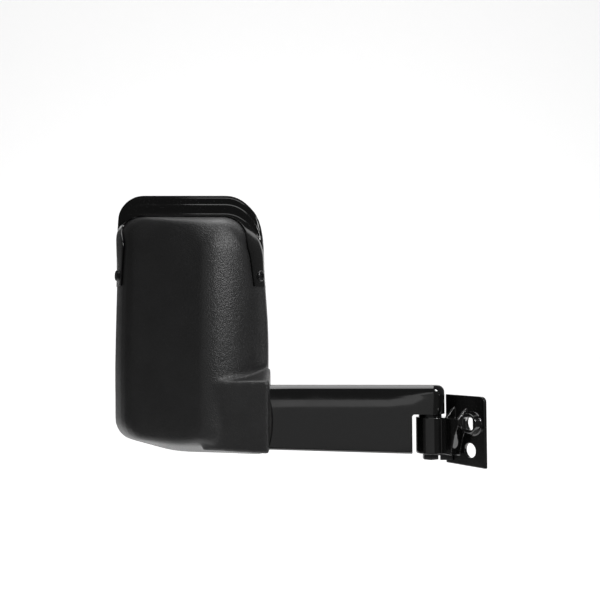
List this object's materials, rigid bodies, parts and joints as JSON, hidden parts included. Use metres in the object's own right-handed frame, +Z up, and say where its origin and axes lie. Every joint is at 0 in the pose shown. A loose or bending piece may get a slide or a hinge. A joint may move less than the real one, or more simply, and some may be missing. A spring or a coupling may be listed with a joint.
{
  "type": "towing mirror",
  "caption": "Long-arm side mirror for a van or truck: domed housing with a rain visor, ball-jointed glass, and an arm that folds on a bracket plate.",
  "frame": {"origin": "centre of the lower fixing hole, on the bracket plate's mounting face", "axes": "+Z up along the fold axis, +X from the mirror head along the arm towards the bracket, +Y the way the mirror glass faces"},
  "size_m": [0.4139, 0.0857, 0.3068],
  "materials": {
    "grained_plastic": "grained",
    "visor_plastic": "satin",
    "gloss_paint": "gloss",
    "black_steel": "satin",
    "zinc_steel": "satin",
    "rubber": "matte",
    "nylon": "matte",
    "mirror": "polished"
  },
  "bodies": {
    "bracket": {"bracket": "gloss_paint", "lower_bush": "nylon", "friction_ring": "nylon", "disc_springs": "zinc_steel", "spring_washer": "zinc_steel", "thrust_plate": "black_steel"},
    "arm": {"arm": "gloss_paint", "arm_gasket": "rubber", "pivot_stud": "zinc_steel", "pivot_nut": "black_steel", "rear_shell": "grained_plastic", "visor": "visor_plastic", "visor_screws": "black_steel", "shell_screws": "zinc_steel", "inner_frame": "zinc_steel", "frame_screws": "zinc_steel", "ball_stud": "zinc_steel", "ball_stud_washer": "zinc_steel", "ball_stud_nut": "zinc_steel"},
    "liner": {"ball_liner": "nylon"},
    "glass": {"socket_ring": "grained_plastic", "socket_screws": "zinc_steel", "glass_holder": "grained_plastic", "adhesive_pad": "rubber", "mirror_glass": "mirror", "glass_bezel": "rubber"}
  },
  "joints": [
    {"name": "arm_fold", "type": "hinge", "parent": "bracket", "child": "arm", "pos_m": [-0.04097, 0.02539, 0.035], "axis": [0, 0, 1], "range_deg": [-40, 70]},
    {"name": "glass_pan", "type": "hinge", "parent": "arm", "child": "liner", "pos_m": [-0.31047, 0.03509, 0.1265], "axis": [0, 0, 1], "range_deg": [-5, 5]},
    {"name": "glass_tilt", "type": "hinge", "parent": "liner", "child": "glass", "pos_m": [-0.31047, 0.03509, 0.1265], "axis": [1, 0, 0], "range_deg": [-4, 4]}
  ]
}
